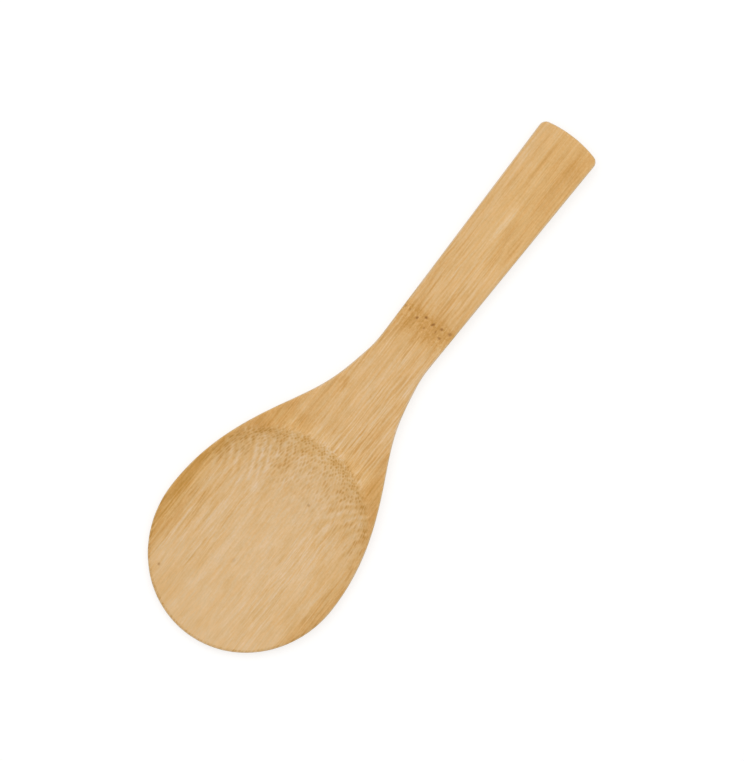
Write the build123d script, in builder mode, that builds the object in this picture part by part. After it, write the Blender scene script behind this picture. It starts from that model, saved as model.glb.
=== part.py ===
from build123d import *
from math import asin, atan2, degrees
import os

# A rice paddle carved from one strip of bamboo culm. The blade is a shallow
# dish, and the handle is as thick as the strip. It lies on its back with the
# dish upwards: +Y runs from the blade to the end of the handle, and the origin
# is at mid length on the plane that it rests on. All sizes are in millimetres.

# Outline, seen from the front
blade_width = 64.7
tip_length = 34.5
flank_length = 81.5
neck_width = 18.66
handle_length = 84.0
handle_end_width = 21.9
end_bulge = 1.6
end_corner_radius = 2.5

# Thickness of the strip, along the blade and at the end of the handle
strip_thickness = 6.4
handle_end_thickness = 7.2

# Dish in the front: a shallow floor, and a steeper wall up to its rim
dish_from_tip = 41.0
dish_radius = 33.5
wall_width = 8.5
floor_curve = 190.0
tip_sweep = 520.0
rim_softening = 6.0

# Thickness of the blade: in the middle, at its widest edges and at the tip
floor_thickness = 2.1
edge_thickness = 2.1
tip_thickness = 1.9

# Flat sole down the middle of the back
sole_width = 14.0

# Sanded edges all round, and how far a cutting shape runs past what it cuts
edge_radius = 0.75
overrun = 5.0

# Points on the flank, as shares of its length and of how far it draws in, and
# the most that the sanding takes from each face of a thin edge
flank_shares = ((0.25, 0.876), (0.5, 0.515), (0.74, 0.135), (0.87, 0.033))
sanding_share = 0.42

blade_half = blade_width / 2
neck_half = neck_width / 2
end_half = handle_end_width / 2
sole_half = sole_width / 2
floor_radius = dish_radius - wall_width
overall_length = tip_length + flank_length + handle_length
tip_y = -overall_length / 2
widest_y = tip_y + tip_length
neck_y = widest_y + flank_length
end_y = tip_y + overall_length
dish_y = tip_y + dish_from_tip
strip_half = max(blade_half, dish_radius) + overrun
strip_top = max(strip_thickness, handle_end_thickness) + overrun
thinnest = min(floor_thickness, edge_thickness, tip_thickness)

# The dish, as the space that is carved away. Its section is turned half a
# circle towards the handle, and swept on a long arc out over the tip.
with BuildPart() as dish:
    with BuildSketch(Plane.XZ.offset(-dish_y)) as dish_section:
        with BuildLine():
            floor = JernArc(
                (0, floor_thickness), (1, 0), floor_curve, degrees(asin(floor_radius / floor_curve))
            )
            wall = TangentArc(floor @ 1, (dish_radius, strip_thickness), tangent=floor % 1)
            lip = Line(wall @ 1, wall @ 1 + (wall % 1) * overrun)
            Polyline(lip @ 1, ((lip @ 1).X, strip_top), (0, strip_top), floor @ 0)
        make_face()
    revolve(axis=Axis((0, dish_y, 0), (0, 0, 1)), revolution_arc=180)
    with BuildSketch(Plane.XZ.offset(-dish_y)) as dish_channel:
        add(dish_section.sketch)
        mirror(about=Plane.YZ)
    revolve(
        dish_channel.sketch,
        axis=Axis((0, dish_y, floor_thickness + tip_sweep), (-1, 0, 0)),
        revolution_arc=degrees(atan2(dish_from_tip + overrun, tip_sweep)),
    )

# How far the back has to rise, from the sole to the widest edge of the blade
# and to the tip, to leave their thicknesses below the dish
edge_reach = blade_half - sole_half
edge_on_wall = min((blade_half - floor_radius) / wall_width, 1)
edge_rise = (wall @ edge_on_wall).Y - edge_thickness
back_curve = (edge_reach**2 + edge_rise**2) / (2 * edge_rise)
tip_lift = tip_sweep - (tip_sweep**2 - dish_from_tip**2) ** 0.5
tip_rise = floor_thickness + tip_lift - tip_thickness
tip_reach = (back_curve**2 - (back_curve - tip_rise) ** 2) ** 0.5
sole_y = tip_y + tip_reach + sole_half

# The back, as the space that the paddle keeps to. Its section runs along the
# handle, and is turned half a circle round the end of the sole.
with BuildPart() as back:
    with BuildSketch(Plane.XZ.offset(-sole_y)) as back_section:
        with BuildLine():
            sole = Line((0, 0), (sole_half, 0))
            curve = JernArc(
                sole @ 1, (1, 0), back_curve, degrees(asin((strip_half - sole_half) / back_curve))
            )
            Polyline(curve @ 1, (strip_half, strip_top), (0, strip_top), sole @ 0)
        make_face()
    revolve(axis=Axis((0, sole_y, 0), (0, 0, 1)), revolution_arc=-180)
    with BuildSketch(Plane.XZ.offset(-sole_y)) as back_channel:
        add(back_section.sketch)
        mirror(about=Plane.YZ)
    extrude(amount=sole_y - end_y - overrun)

with BuildPart() as paddle:
    # Strip: level along the blade, then a little thicker along the handle
    with BuildSketch(Plane.YZ) as strip:
        with BuildLine():
            level = Line((tip_y - overrun, strip_thickness), (neck_y, strip_thickness))
            rise = TangentArc(level @ 1, (end_y, handle_end_thickness), tangent=level % 1)
            run_out = Line(rise @ 1, rise @ 1 + (rise % 1) * overrun)
            under_end = ((run_out @ 1).X, -overrun)
            Polyline(run_out @ 1, under_end, (tip_y - overrun, -overrun), level @ 0)
        make_face()
    extrude(amount=strip_half, both=True)
    add(dish.part, mode=Mode.SUBTRACT)
    add(back.part, mode=Mode.INTERSECT)
    # Outline: a round tip, flanks that draw in to the neck, and the handle
    with BuildSketch(Plane.XY.offset(-overrun)) as outline:
        with BuildLine():
            tip = EllipticalCenterArc((0, widest_y), blade_half, tip_length, start_angle=-90)
            handle_side = Line((neck_half, neck_y), (end_half, end_y - end_bulge))
            flank_points = [
                (neck_half + across * (blade_half - neck_half), widest_y + along * flank_length)
                for along, across in flank_shares
            ]
            Spline(tip @ 1, *flank_points, handle_side @ 0, tangents=[tip % 1, handle_side % 0])
            mirror(about=Plane.YZ)
            ThreePointArc(handle_side @ 1, (0, end_y), (-end_half, end_y - end_bulge))
        make_face()
        fillet(outline.vertices().group_by(Axis.Y)[-1], end_corner_radius)
    extrude(amount=overrun + strip_top, mode=Mode.INTERSECT)
    # Rim of the dish softened, then every edge of the outline sanded round
    shoulder = paddle.faces().filter_by(GeomType.PLANE).filter_by(Axis.Z).sort_by(Axis.Z)[-1]
    fillet(shoulder.edges().filter_by(GeomType.CIRCLE), rim_softening)
    walls = paddle.faces().filter_by(lambda face: round(face.normal_at().Z, 3) == 0)
    outline_edges = walls.edges().filter_by(Axis.Z, reverse=True)
    fillet(outline_edges, min(edge_radius, sanding_share * thinnest))
paddle.part.label = "paddle"

os.makedirs("parts", exist_ok=True)
export_step(paddle.part, "parts/paddle.step")
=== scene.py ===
from math import radians

import bmesh
import bpy
from mathutils import Matrix, Vector


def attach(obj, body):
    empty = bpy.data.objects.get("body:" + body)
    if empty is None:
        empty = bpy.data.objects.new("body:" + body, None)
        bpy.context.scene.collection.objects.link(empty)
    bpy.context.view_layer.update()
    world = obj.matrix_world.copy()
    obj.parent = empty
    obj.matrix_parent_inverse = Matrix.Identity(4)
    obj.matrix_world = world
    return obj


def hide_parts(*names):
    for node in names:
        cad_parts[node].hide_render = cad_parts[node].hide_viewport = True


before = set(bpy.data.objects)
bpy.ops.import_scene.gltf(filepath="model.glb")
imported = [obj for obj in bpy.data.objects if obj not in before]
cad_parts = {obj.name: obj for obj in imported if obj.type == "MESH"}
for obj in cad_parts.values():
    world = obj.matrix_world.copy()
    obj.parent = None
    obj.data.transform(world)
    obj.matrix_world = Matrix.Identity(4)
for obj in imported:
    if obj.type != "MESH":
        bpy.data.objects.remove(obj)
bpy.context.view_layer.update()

# The paddle is carved from one strip of thick bamboo culm, split along the
# grain: the dish is scraped out of its front, and every edge is sanded round.
# The carved shape is made again here as an even, fine mesh.
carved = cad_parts["paddle"]
mesh_pitch = 0.0005
merge_distance = 1e-6


def settled(obj):
    """The object's mesh with its modifiers applied."""
    depsgraph = bpy.context.evaluated_depsgraph_get()
    return bpy.data.meshes.new_from_object(obj.evaluated_get(depsgraph))


skin = bmesh.new()
skin.from_mesh(carved.data)
bmesh.ops.remove_doubles(skin, verts=skin.verts, dist=merge_distance)
closed_shape = bpy.data.meshes.new("closed_shape")
skin.to_mesh(closed_shape)
skin.free()

paddle = bpy.data.objects.new("rice_paddle", closed_shape)
bpy.context.scene.collection.objects.link(paddle)
remesh = paddle.modifiers.new("even_mesh", "REMESH")
remesh.mode = "VOXEL"
remesh.voxel_size = mesh_pitch
remesh.use_smooth_shade = True
fit = paddle.modifiers.new("fit", "SHRINKWRAP")
fit.target = carved
fit.wrap_method = "NEAREST_SURFACEPOINT"
paddle.data = settled(paddle)
paddle.modifiers.clear()

# Where the strip was planed through the culm's node, the bundles that turn
# aside there end in small pits. Each has its place, half its width and length,
# and its lean, in millimetres and degrees, and its strength.
pits = (
    (-8.9, 25.1, 0.55, 0.45, 0, 0.5),
    (-7.0, 24.9, 0.40, 0.50, 30, 0.4),
    (-3.7, 24.2, 0.40, 0.58, -18, 0.95),
    (-1.4, 26.0, 0.45, 0.48, 20, 1.0),
    (1.7, 25.5, 0.42, 0.72, -32, 1.0),
    (4.8, 26.0, 0.46, 0.50, 0, 0.9),
    (7.8, 26.4, 0.55, 0.60, 10, 0.75),
    (0.1, 22.9, 0.38, 0.45, 0, 0.5),
    (5.9, 23.3, 0.62, 0.42, 8, 0.75),
    (3.7, 24.2, 0.30, 0.60, 8, 0.5),
)
pit_depth = 0.00014
fine_area = 0.0011
fine_cuts = 3
front_reach = 0.001
millimetres = 1000


def on_front(across, along):
    """The point of the paddle's front at this place in millimetres, in metres."""
    high_above = Vector((across / millimetres, along / millimetres, 1))
    return paddle.ray_cast(high_above, Vector((0, 0, -1)))[1]


skin = bmesh.new()
skin.from_mesh(paddle.data)
centres = [on_front(*pit[:2]) for pit in pits]
near = [
    edge
    for edge in skin.edges
    if any((edge.verts[0].co - centre).length < fine_area for centre in centres)
]
bmesh.ops.subdivide_edges(skin, edges=near, cuts=fine_cuts, use_grid_fill=True)
for centre, pit in zip(centres, pits):
    half_width, half_length, tilt, strength = pit[2:]
    straighten = Matrix.Rotation(radians(-tilt), 3, "Z")
    for vert in skin.verts:
        local = straighten @ (vert.co - centre) * millimetres
        if abs(local.z) < front_reach * millimetres:
            reach = Vector((local.x / half_width, local.y / half_length)).length
            vert.co.z -= pit_depth * strength * max(0, 1 - reach**2 / 2) ** 2
pitted = bpy.data.meshes.new("rice_paddle")
skin.to_mesh(pitted)
skin.free()
pitted.shade_smooth()
paddle.data = pitted

# The bamboo is bare and sanded, with a satin face. Its colour comes from the
# bundles of fibre, dark and close together under the rind and paler and wider
# apart towards the inside of the culm, which the carving cuts at every angle.
bamboo = bpy.data.materials.new("carved_bamboo")
bamboo.use_nodes = True
tree = bamboo.node_tree
finish = tree.nodes["Principled BSDF"]


def shader(kind, inputs, **settings):
    """Adds a shader node to the current tree, and sets or links each of its inputs."""
    made = tree.nodes.new("ShaderNode" + kind)
    for name, value in settings.items():
        setattr(made, name, value)
    for name, value in inputs.items():
        if isinstance(value, bpy.types.NodeSocket):
            tree.links.new(value, made.inputs[name])
        else:
            made.inputs[name].default_value = value
    return made


def calc(operation, first, second=0.0, third=0.0):
    """The result of one sum on numbers."""
    return shader("Math", {0: first, 1: second, 2: third}, operation=operation).outputs[0]


coordinates = tree.nodes.new("ShaderNodeTexCoord").outputs
in_millimetres = {0: coordinates["Object"], "Scale": millimetres}
place = shader("VectorMath", in_millimetres, operation="SCALE").outputs[0]
x, y, z = shader("SeparateXYZ", {0: place}).outputs
facing_x, facing_y, facing_z = shader("SeparateXYZ", {0: coordinates["Normal"]}).outputs
facing_side = calc("ABSOLUTE", facing_x)
facing_along = calc("ABSOLUTE", facing_y)
aside = calc("ABSOLUTE", x)

# The strip's front lies a few millimetres under the rind, a little nearer on
# the right of the handle and the left of the blade, and the rind curves away
# towards both edges of the blade.
rind_height = 9.5
culm_radius = 138.0
twist = 0.00045
twist_start = -2.0
flat_start, flat_full = 5.7, 6.3


def product(*shares):
    """Several shares multiplied together."""
    result = shares[0]
    for share in shares[1:]:
        result = calc("MULTIPLY", result, share)
    return result


def rise(value, start, end, low=0.0, high=1.0, path="SMOOTHSTEP"):
    """Goes from low to high, smoothly or straight, as the value goes from start to end."""
    inputs = {"Value": value, "From Min": start, "From Max": end, "To Min": low, "To Max": high}
    return shader("MapRange", inputs, interpolation_type=path).outputs[0]


sag = calc("DIVIDE", product(x, x), 2 * culm_radius)
lean = product(x, twist, calc("SUBTRACT", y, twist_start))
depth = calc("SUBTRACT", calc("SUBTRACT", calc("SUBTRACT", rind_height, z), sag), lean)
flat = rise(z, flat_start, flat_full)
inside = calc("SUBTRACT", 1.0, flat)

# The bundles run along the strip in staggered rows. They wander a little, and
# dip under the dish, so that its wall cuts each of them to a dot and its floor
# to a short streak.
bundle_pitch = 1.2
row_pitch = 0.4
scatter = 0.62
faintest = 0.25
dish_y = -59.0
dish_radius = 33.5
dip_radius = 150.0
swirl_across, swirl_deep = 1.2, 2.2
ripple_across = 0.7


def added(total, *shares):
    """The total with the product of several shares added."""
    return calc("ADD", total, product(*shares))


def point(first, second, third):
    """A point or a colour from its three parts."""
    return shader("CombineXYZ", {0: first, 1: second, 2: third}).outputs[0]


def streaks(where, across, along, detail=2.0, roughness=0.5):
    """Three patterns of noise drawn out along the grain, with their sizes in millimetres."""
    scaled = shader("Mapping", {"Vector": where, "Scale": (1 / across, 1 / along, 1 / across)})
    inputs = {"Vector": scaled.outputs[0], "Scale": 1.0, "Detail": detail, "Roughness": roughness}
    noise = shader("TexNoise", inputs)
    return shader("SeparateColor", {0: noise.outputs["Color"]}).outputs


up_dish = calc("MAXIMUM", calc("SUBTRACT", y, dish_y), 0.0)
from_middle = added(product(x, x), up_dish, up_dish)
within_rim = calc("MAXIMUM", calc("SUBTRACT", dish_radius**2, from_middle), 0.0)
dip = calc("DIVIDE", within_rim, 2 * dip_radius)
swirl = streaks(place, 9.0, 34.0)
ripple = streaks(place, 2.4, 9.0)
ripple_deep = rise(z, 2.4, 5.2, 0.9, 0.25)
grain_x = added(calc("MULTIPLY_ADD", swirl[0], swirl_across, x), ripple[1], ripple_across)
grain_z = calc("SUBTRACT", calc("MULTIPLY_ADD", swirl[1], swirl_deep, z), dip)
grain_z = added(grain_z, ripple[0], ripple_deep)
grain = point(grain_x, y, grain_z)
column = calc("DIVIDE", grain_x, bundle_pitch)
row = calc("DIVIDE", grain_z, 2 * row_pitch)
lattice = point(calc("ADD", column, row), calc("SUBTRACT", column, row), 0.0)
cell_shape = {"Vector": lattice, "Scale": 1.0, "Randomness": scatter}
cells = shader("TexVoronoi", cell_shape, voronoi_dimensions="2D").outputs
shade = shader("SeparateColor", {0: cells["Color"]}).outputs[0]
bundle = product(rise(cells["Distance"], 0.6, 0.15), rise(shade, 0.0, 1.0, faintest, 1.0))

# The tone goes from dark and golden under the rind to pale inside the culm, and
# is a little darker on the wall of the dish that faces the tip.
outer_tone, inner_tone = 62.0, 120.0
heart_change = 10.0
wall_change = -5.0
tone = rise(depth, -1.6, 3.1, outer_tone, inner_tone, "LINEAR")
tone = added(tone, rise(depth, 3.0, 6.0, 0.0, heart_change))
tone = added(tone, rise(facing_y, -0.35, 0.0, wall_change, 0.0, "LINEAR"))

# The node is a mottled golden brown band, ragged along the fibres. It ends more
# sharply towards the handle's end than towards the blade, and beyond it the wood
# stays a little brown.
lower_edge = (15.5, 22.5)
upper_edge = (29.0, 26.0)
brown_fade = (37.0, 28.0)
lower_tongues, upper_tongues = 6.0, 4.0
band_change, brown_change = -25.0, -9.0
mottle = streaks(grain, 0.8, 2.0, 2.0, 0.6)
fuzz = streaks(place, 0.6, 0.8, 2.0, 0.6)
tongue = streaks(grain, 0.9, 8.0, 1.0, 0.5)[1]


def tongued(length):
    """How far up the paddle a point is, with tongues of this length along the fibres."""
    return calc("MULTIPLY_ADD", tongue, length, calc("SUBTRACT", y, length / 2))


def swing(noise, softness, size):
    """Goes from -size to size as the noise crosses its middle."""
    return rise(noise, 0.5 - softness, 0.5 + softness, -size, size)


beyond_blade = rise(tongued(lower_tongues), *lower_edge)
band = product(beyond_blade, rise(tongued(upper_tongues), *upper_edge))
plain = calc("SUBTRACT", 1.0, product(band, 0.3))
tone = added(tone, band, band_change)
tone = added(tone, beyond_blade, rise(y, *brown_fade, 0.0, brown_change))
tone = added(tone, band, swing(mottle[0], 0.15, 10.0))
tone = added(tone, band, swing(fuzz[1], 0.15, 9.0))

# The bundles are clearest where the wall of the dish cuts across them and on
# the strip's ends, and faint on the floor of the dish, on the blade's flanks and
# far up the handle.
bundle_change = -29.0
across_grain = rise(facing_y, -0.01, -0.12)
by_tip = rise(y, -97.0, -64.0, 0.55, 1.0)
on_side = rise(aside, 6.0, 18.0, 0.5, 0.78)
on_flank = rise(aside, 9.0, 17.0, 1.0, 0.55)
uneven = rise(swirl[2], 0.38, 0.62, 0.6, 1.3)
on_wall = product(
    rise(aside, 8.0, 14.0),
    rise(aside, 29.0, 23.0),
    rise(y, -54.0, -47.0),
    rise(y, -32.0, -38.0),
    rise(facing_z, 0.0, 0.5),
)
dot, dash = product(across_grain, 1.32), product(by_tip, on_side, uneven)
clear = product(inside, rise(depth, 7.6, 5.4, 0.3, 1.0), calc("MAXIMUM", dot, dash))
clear = added(clear, flat, plain, on_flank, rise(y, 45.0, 90.0, 0.7, 0.3))
clear = product(clear, calc("MULTIPLY_ADD", on_wall, -0.2, 1.0))
clear = added(clear, rise(facing_along, 0.55, 1.0, 0.0, 0.6))
tone = added(tone, bundle, clear, bundle_change)

# Fine fibres run between the bundles. On the flat wood there are also long
# wisps, threads and broad flames, and in the dish short flecks, patches and
# broad plumes.
vivid = product(rise(y, -32.0, 0.0, 1.5, 1.0), rise(y, 30.0, 90.0, 1.0, 0.25), on_flank, uneven)
on_flat = product(flat, vivid, plain)
to_left, to_right = rise(x, -6.0, -18.0, 0.7, 0.85), rise(x, 6.0, 18.0, 0.7, 1.15)
along_grain = calc("MULTIPLY_ADD", across_grain, -0.8, 1.0)
lively = product(inside, by_tip, uneven, calc("MAXIMUM", to_left, to_right), along_grain)
lively = added(lively, on_flat, 0.85)
fibre = streaks(grain, 0.5, 11.0, 2.0, 0.6)[0]
tone = added(tone, lively, swing(fibre, 0.2, 14.0))
wisp = streaks(grain, 1.0, 14.0, 2.0, 0.6)[0]
tone = added(tone, on_flat, swing(wisp, 0.15, 6.5))
thread = streaks(grain, 0.45, 36.0, 2.0, 0.7)[0]
tone = added(tone, flat, rise(y, 30.0, 80.0), swing(thread, 0.15, 7.5))
flame = streaks(grain, 3.5, 40.0, 3.0, 0.6)[0]
tone = added(tone, on_flat, swing(flame, 0.12, 6.5))
fleck = streaks(grain, 1.3, 6.0, 2.0, 0.6)[0]
tone = added(tone, inside, swing(fleck, 0.15, 4.0))
patch = streaks(grain, 4.5, 8.0, 3.0, 0.6)[0]
tone = added(tone, inside, swing(patch, 0.1, 5.0), rise(across_grain, 0.0, 1.0, 0.6, 1.0))
plume = streaks(grain, 2.4, 24.0, 2.0, 0.6)[0]
tone = added(tone, inside, by_tip, rise(x, 4.0, -16.0, 1.0, 1.7), swing(plume, 0.12, 5.0))
tone = added(tone, by_tip, swing(fuzz[0], 0.2, 6.0))

# On the side walls of the dish the rows of bundles show as slanting stripes,
# which are wider and turn further round on the right.
stripe_start = -41.0
half_middle = 5.0
waviness = 7.0


def by_side(left, right):
    """One value on the paddle's left and another on its right."""
    return rise(x, -half_middle, half_middle, left, right)


up_wall = calc("SUBTRACT", y, stripe_start)
slant = calc("MULTIPLY_ADD", up_wall, by_side(0.007, 0.04), by_side(0.5, 0.73))
out = calc("SUBTRACT", aside, product(up_wall, slant))
bend = streaks(place, 5.0, 9.0, 2.0, 0.5)[0]
stripe = calc("SINE", added(product(out, by_side(2.33, 1.65)), bend, waviness))
tone = added(tone, on_wall, stripe, rise(patch, 0.35, 0.55, 5.5, 11.0))

# The wood also has single ragged marks, paler or darker than what is round
# them. Each has its place, half its width and length, and its change of tone.
marks = (
    # On the handle
    (7.0, 92.0, 3.5, 5.0, -8.0),
    (0.6, 90.0, 2.2, 8.0, -12.0),
    (-4.0, 90.0, 3.0, 6.0, -5.0),
    (-2.6, 88.0, 0.9, 12.0, -12.0),
    (-8.6, 87.0, 1.6, 13.0, 9.0),
    (5.5, 84.0, 3.8, 16.0, -15.0),
    (1.0, 76.0, 1.6, 7.0, -6.0),
    (-4.0, 76.0, 6.0, 9.0, -5.0),
    (2.2, 70.0, 0.9, 12.0, -8.0),
    (-8.6, 67.0, 1.5, 5.0, -10.0),
    (-0.2, 64.0, 1.2, 15.0, 19.0),
    (2.6, 64.0, 2.2, 5.0, -9.0),
    (7.2, 60.0, 1.4, 7.0, -10.0),
    (8.4, 50.0, 1.2, 8.0, 7.0),
    (-4.3, 44.0, 1.5, 8.0, -10.0),
    (3.6, 43.0, 2.0, 8.0, 8.0),
    (7.2, 37.0, 1.1, 4.0, -10.0),
    (1.6, 35.0, 0.9, 4.0, -10.0),
    # In and round the node's band
    (-8.6, 31.0, 1.2, 3.0, 6.0),
    (-4.0, 30.0, 2.0, 2.5, -5.0),
    (4.3, 26.0, 1.6, 2.0, 6.0),
    (4.0, 24.5, 2.5, 3.0, 3.0),
    (-5.8, 23.6, 1.3, 1.8, 6.0),
    (-8.8, 23.0, 1.1, 5.0, 12.0),
    (8.7, 20.5, 1.7, 3.6, 30.0),
    (-5.6, 19.3, 1.3, 2.8, -6.0),
    (-0.5, 18.0, 1.1, 2.4, -12.0),
    (-7.0, 17.2, 1.9, 3.6, -18.0),
    (6.4, 17.0, 1.3, 3.4, -8.0),
    (-1.5, 14.5, 6.5, 3.5, -6.0),
    (4.2, 14.5, 2.0, 3.0, -5.0),
    (-8.6, 14.5, 1.2, 2.5, -8.0),
    # On the neck and the shoulder
    (8.7, 10.0, 1.4, 8.0, 20.0),
    (4.0, 5.0, 2.5, 6.0, 6.0),
    (-8.4, 4.5, 1.2, 4.5, 5.0),
    (-0.6, 4.0, 0.9, 6.0, 9.0),
    (7.8, 3.0, 1.1, 5.0, 14.0),
    (-9.0, -6.2, 3.2, 2.2, -17.0),
    (-12.5, -9.5, 2.0, 4.5, -7.0),
    (12.0, -10.0, 1.8, 5.0, 13.0),
    (-12.0, -16.0, 1.9, 6.0, -10.0),
    (-16.4, -17.0, 1.5, 3.4, -10.0),
    (15.4, -18.5, 2.2, 6.0, -13.0),
    # Round the rim of the dish
    (-9.0, -20.0, 3.0, 3.0, -4.0),
    (0.5, -20.5, 4.5, 3.2, -9.0),
    (-17.0, -21.5, 2.5, 3.0, -8.0),
    (8.5, -22.0, 2.5, 3.0, 10.0),
    (-13.0, -23.4, 3.6, 2.0, -15.0),
    (-18.5, -25.0, 3.6, 5.5, -17.0),
    (4.6, -25.6, 1.3, 1.5, 16.0),
    (-2.8, -25.8, 1.2, 1.5, 15.0),
    (0.0, -26.8, 2.8, 1.5, 22.0),
    (4.2, -28.6, 1.4, 0.9, -13.0),
    (20.0, -29.0, 3.6, 6.5, -21.0),
    (10.5, -29.5, 3.0, 1.6, 13.0),
    (-11.0, -30.5, 3.0, 3.0, 13.0),
    (-21.0, -32.5, 2.6, 3.4, -12.0),
    (23.0, -33.0, 2.0, 3.0, -9.0),
    (11.5, -33.5, 3.0, 1.5, -8.0),
    # In the dish
    (-13.0, -38.0, 3.5, 4.0, 10.0),
    (-24.0, -38.0, 3.5, 4.0, 8.0),
    (-4.0, -40.5, 1.4, 1.1, 8.0),
    (14.0, -49.0, 3.0, 4.0, -6.0),
    (-14.0, -50.0, 4.0, 5.0, 5.0),
    (-30.5, -60.0, 2.2, 12.0, -21.0),
    (15.0, -62.0, 4.0, 8.0, 7.0),
    (28.8, -68.0, 3.0, 18.0, -13.0),
    (0.0, -80.0, 6.0, 5.0, -5.0),
    (-20.0, -80.0, 11.0, 12.0, 7.0),
    (26.0, -81.0, 2.5, 5.0, -9.0),
    (18.0, -92.0, 4.0, 3.5, 9.0),
    (0.0, -93.0, 6.0, 5.0, -6.0),
)
mark_depth = 3.0
mark_rim, mark_core = 1.35, 0.2
waver_across, waver_along = 1.6, 8.0


def vector(operation, first, second):
    """The result of one sum on points or colours."""
    return shader("VectorMath", {0: first, 1: second}, operation=operation).outputs[0]


def from_centre(where, centre, half_width, half_length, tilt=0.0):
    """How far a point is from a mark's centre, where its edge is at 1."""
    local = vector("SUBTRACT", where, centre * millimetres)
    if tilt:
        inputs = {"Vector": local, "Angle": radians(-tilt)}
        local = shader("VectorRotate", inputs, rotation_type="Z_AXIS").outputs[0]
    local = vector("DIVIDE", local, (half_width, half_length, mark_depth))
    return shader("VectorMath", {0: local}, operation="LENGTH").outputs["Value"]


def shifted(noise_across, noise_along, span_across, span_along):
    """The place, moved by two noises within these spans in millimetres."""
    shift = point(product(noise_across, span_across), product(noise_along, span_along), 0.0)
    return vector("ADD", vector("ADD", place, shift), (-span_across / 2, -span_along / 2, 0.0))


waver = streaks(place, 1.3, 5.0, 3.0, 0.65)
ragged = shifted(waver[0], waver[1], waver_across, waver_along)
for across, along, half_width, half_length, change in marks:
    away = from_centre(ragged, on_front(across, along), half_width, half_length)
    tone = added(tone, rise(away, mark_rim, mark_core, 0.0, change))

# The sanding leaves a paler line along the edges, partly paler wood and partly painted highlight,
# which also lifts the shade on the rounded edges. The crest of the rim has a speckled painted
# highlight.
edge_paling_and_highlight, crest_highlight_change = 33.0, 12.0
facing_up = calc("ABSOLUTE", facing_z)
sanded_and_highlit = calc("MAXIMUM", rise(facing_side, 0.2, 0.75), rise(facing_along, 0.35, 0.8, 0.0, 0.9))
sanded_and_highlit = product(sanded_and_highlit, rise(facing_up, 0.05, 0.3))
crest_highlight = product(rise(facing_along, 0.04, 0.12), rise(z, flat_start, 6.1), rise(mottle[1], 0.45, 0.65))
tone = added(tone, calc("MAXIMUM", product(sanded_and_highlit, edge_paling_and_highlight), product(crest_highlight, crest_highlight_change)))

# The tone is the blue of the wood's colour on a screen, and its red and green
# go with it.
shades = (
    (184, 134, 60),
    (193, 144, 75),
    (201, 154, 90),
    (208.5, 165.5, 105),
    (213.8, 174, 120),
    (217, 182, 135),
    (221, 189, 150),
    (226, 198, 165),
)


def srgb(red, green, blue):
    """A screen colour, from 0 to 255, as a linear one."""
    return (*(((c / 255 + 0.055) / 1.055) ** 2.4 for c in (red, green, blue)), 1)


darkest, palest = shades[0][2], shades[-1][2]
paleness = calc("DIVIDE", calc("SUBTRACT", tone, darkest), palest - darkest)
ramp = shader("ValToRGB", {0: paleness})
stops = ramp.color_ramp.elements
for screen_colour in shades[1:-1]:
    stops.new((screen_colour[2] - darkest) / (palest - darkest))
for stop, screen_colour in zip(stops, shades):
    stop.color = srgb(*screen_colour)

# The flat wood is a little warmer than the pith in the dish, and the fibres
# differ in hue. The node, the far part of the handle, the blade's left edge and
# the dish's rim by the neck are more golden.
green_share = 0.5
hue_swing = 0.04
# The ends cut across the grain are a little cooler. Painted highlight makes the sanded edges cooler
# and warms the flat wood that turns towards the ends, such as the rim's crest.
cooler_grain_and_highlight = calc("MAXIMUM", product(across_grain, 0.015), product(sanded_and_highlit, 0.05))
warmth_and_highlight = calc("SUBTRACT", product(flat, 0.016), cooler_grain_and_highlight)
warmth_and_highlight = added(warmth_and_highlight, rise(facing_along, 0.02, 0.08), flat, 0.03)
warmth_and_highlight = added(warmth_and_highlight, swing(streaks(grain, 0.6, 6.0, 2.0, 0.6)[1], 0.2, hue_swing))
golden = product(flat, rise(y, 20.0, 70.0), rise(x, -9.0, -2.0, 0.3, 1.0), 0.035)
golden = added(golden, rise(x, -25.0, -29.0, 0.0, 0.045))
golden = added(golden, rise(y, -34.0, -29.0), rise(y, -21.0, -26.0), 0.03)
golden = added(golden, band, 0.025)
golden = added(golden, bundle, across_grain, -0.045)
gain = calc("ADD", golden, 1.0)
tint = point(calc("ADD", warmth_and_highlight, gain), calc("MULTIPLY_ADD", warmth_and_highlight, green_share, gain), 1.0)
colour = vector("MULTIPLY", ramp.outputs[0], tint)

# The pits are brown inside, and the dish has three small specks. A speck has
# the same six values as a pit.
specks = (
    (-20.0, -88.0, 0.45, 0.45, 0, 0.6),
    (6.0, -44.0, 0.40, 0.45, 0, 0.5),
    (-2.0, -72.5, 0.55, 0.75, 0, 0.22),
)
pit_brown = srgb(132, 80, 0)
pit_cover = 0.8
pit_rim, pit_core = 1.6, 0.25
pit_waver = 0.35


def blend(share, under, over):
    """Lays one colour over another, through the Mix node's colour sockets 6, 7 and 2."""
    return shader("Mix", {0: share, 6: under, 7: over}, data_type="RGBA").outputs[2]


uneven_edge = shifted(waver[2], mottle[2], pit_waver, pit_waver)
for across, along, half_width, half_length, tilt, strength in pits + specks:
    away = from_centre(uneven_edge, on_front(across, along), half_width, half_length, tilt)
    colour = blend(rise(away, pit_rim, pit_core, 0.0, pit_cover * strength), colour, pit_brown)
tree.links.new(colour, finish.inputs["Base Color"])

# The sanded face is satin and almost smooth. The fibres differ a little in
# gloss and height, and the bundles lie a hair lower than what is round them.
smoothest, roughest = 0.5, 0.6
relief_height = 0.00006
tree.links.new(rise(fibre, 0.3, 0.7, smoothest, roughest), finish.inputs["Roughness"])
relief = calc("MULTIPLY_ADD", bundle, -0.5, fibre)
bump = shader("Bump", {"Height": relief, "Strength": 0.35, "Distance": relief_height})
tree.links.new(bump.outputs[0], finish.inputs["Normal"])
finish.inputs["Specular IOR Level"].default_value = 0.3

paddle.data.materials.clear()
paddle.data.materials.append(bamboo)
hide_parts("paddle")
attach(paddle, "root")

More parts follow.
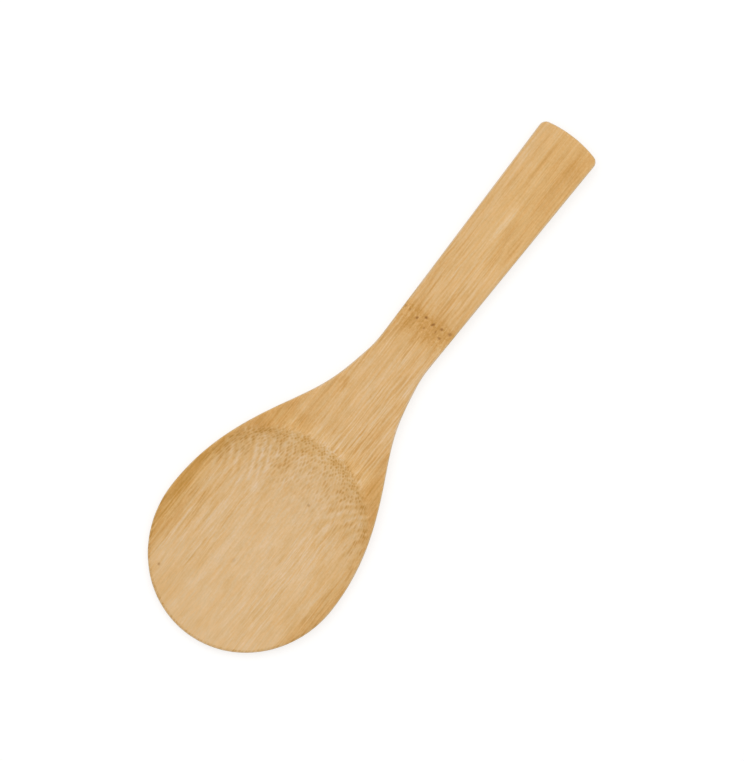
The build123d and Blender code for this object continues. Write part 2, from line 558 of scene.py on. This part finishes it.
# The floor is a plain white sheet, which the paddle rests on. It glows a
# little, so that the paddle's shadow on it stays faint, and more far from the
# paddle, so that it looks white there too.
floor_half = 3.0
sheet_grey = 0.4
near_floor, far_floor = 0.3, 2.0
near_glow, far_glow = 0.14, 0.32
own_glow = 0.5
sheet = bmesh.new()
bmesh.ops.create_grid(sheet, x_segments=1, y_segments=1, size=floor_half)
floor_mesh = bpy.data.meshes.new("floor")
sheet.to_mesh(floor_mesh)
sheet.free()
floor = bpy.data.objects.new("floor", floor_mesh)
bpy.context.scene.collection.objects.link(floor)
white = bpy.data.materials.new("white_sheet")
white.use_nodes = True
tree = white.node_tree
paint = tree.nodes["Principled BSDF"]
paint.inputs["Base Color"].default_value = (sheet_grey, sheet_grey, sheet_grey, 1)
paint.inputs["Roughness"].default_value = 0.9
paint.inputs["Specular IOR Level"].default_value = 0.0
paint.inputs["Emission Color"].default_value = (1, 1, 1, 1)


def in_view():
    """1 for the rays that show the background to the camera or in a reflection."""
    rays = shader("LightPath", {}).outputs
    mirrored = calc("MAXIMUM", rays["Is Glossy Ray"], rays["Is Transmission Ray"])
    return calc("MAXIMUM", rays["Is Camera Ray"], mirrored)


on_sheet = tree.nodes.new("ShaderNodeTexCoord").outputs["Object"]
from_paddle = shader("VectorMath", {0: on_sheet}, operation="LENGTH").outputs["Value"]
seen_glow = rise(from_paddle, near_floor, far_floor, near_glow, far_glow)
glow = calc("MULTIPLY_ADD", in_view(), seen_glow, own_glow)
tree.links.new(glow, paint.inputs["Emission Strength"])
floor_mesh.materials.append(white)

# Even light comes from all round, and a large round softbox that hangs over the
# paddle adds a little from above.
fill = 0.55
world = bpy.data.worlds.new("studio")
bpy.context.scene.world = world
world.use_nodes = True
tree = world.node_tree
studio = tree.nodes["Background"]
studio.inputs["Color"].default_value = (1, 1, 1, 1)
tree.links.new(calc("MULTIPLY_ADD", in_view(), 1 - fill, fill), studio.inputs["Strength"])

lamp = bpy.data.lights.new("softbox", "AREA")
lamp.shape = "DISK"
lamp.size = 1.2
lamp.energy = 6.75
softbox = bpy.data.objects.new("softbox", lamp)
softbox.location = (-0.15, 0.15, 1.05)
softbox.rotation_euler = (-softbox.location).to_track_quat("-Z", "Y").to_euler()
bpy.context.scene.collection.objects.link(softbox)

# The camera looks straight down through a long lens, turned so that the handle
# points up to the right.
camera = bpy.data.cameras.new("camera")
camera.lens = 200
view_height = 0.2415
front_height = 0.0064
view_centre = (-0.00265, -0.0003)
camera_turn = radians(38.1)
eye = bpy.data.objects.new("camera", camera)
eye.location = (*view_centre, front_height + camera.lens / camera.sensor_width * view_height)
eye.rotation_euler = (0, 0, camera_turn)
bpy.context.scene.collection.objects.link(eye)
bpy.context.scene.camera = eye
bpy.context.scene.view_settings.view_transform = "Standard"
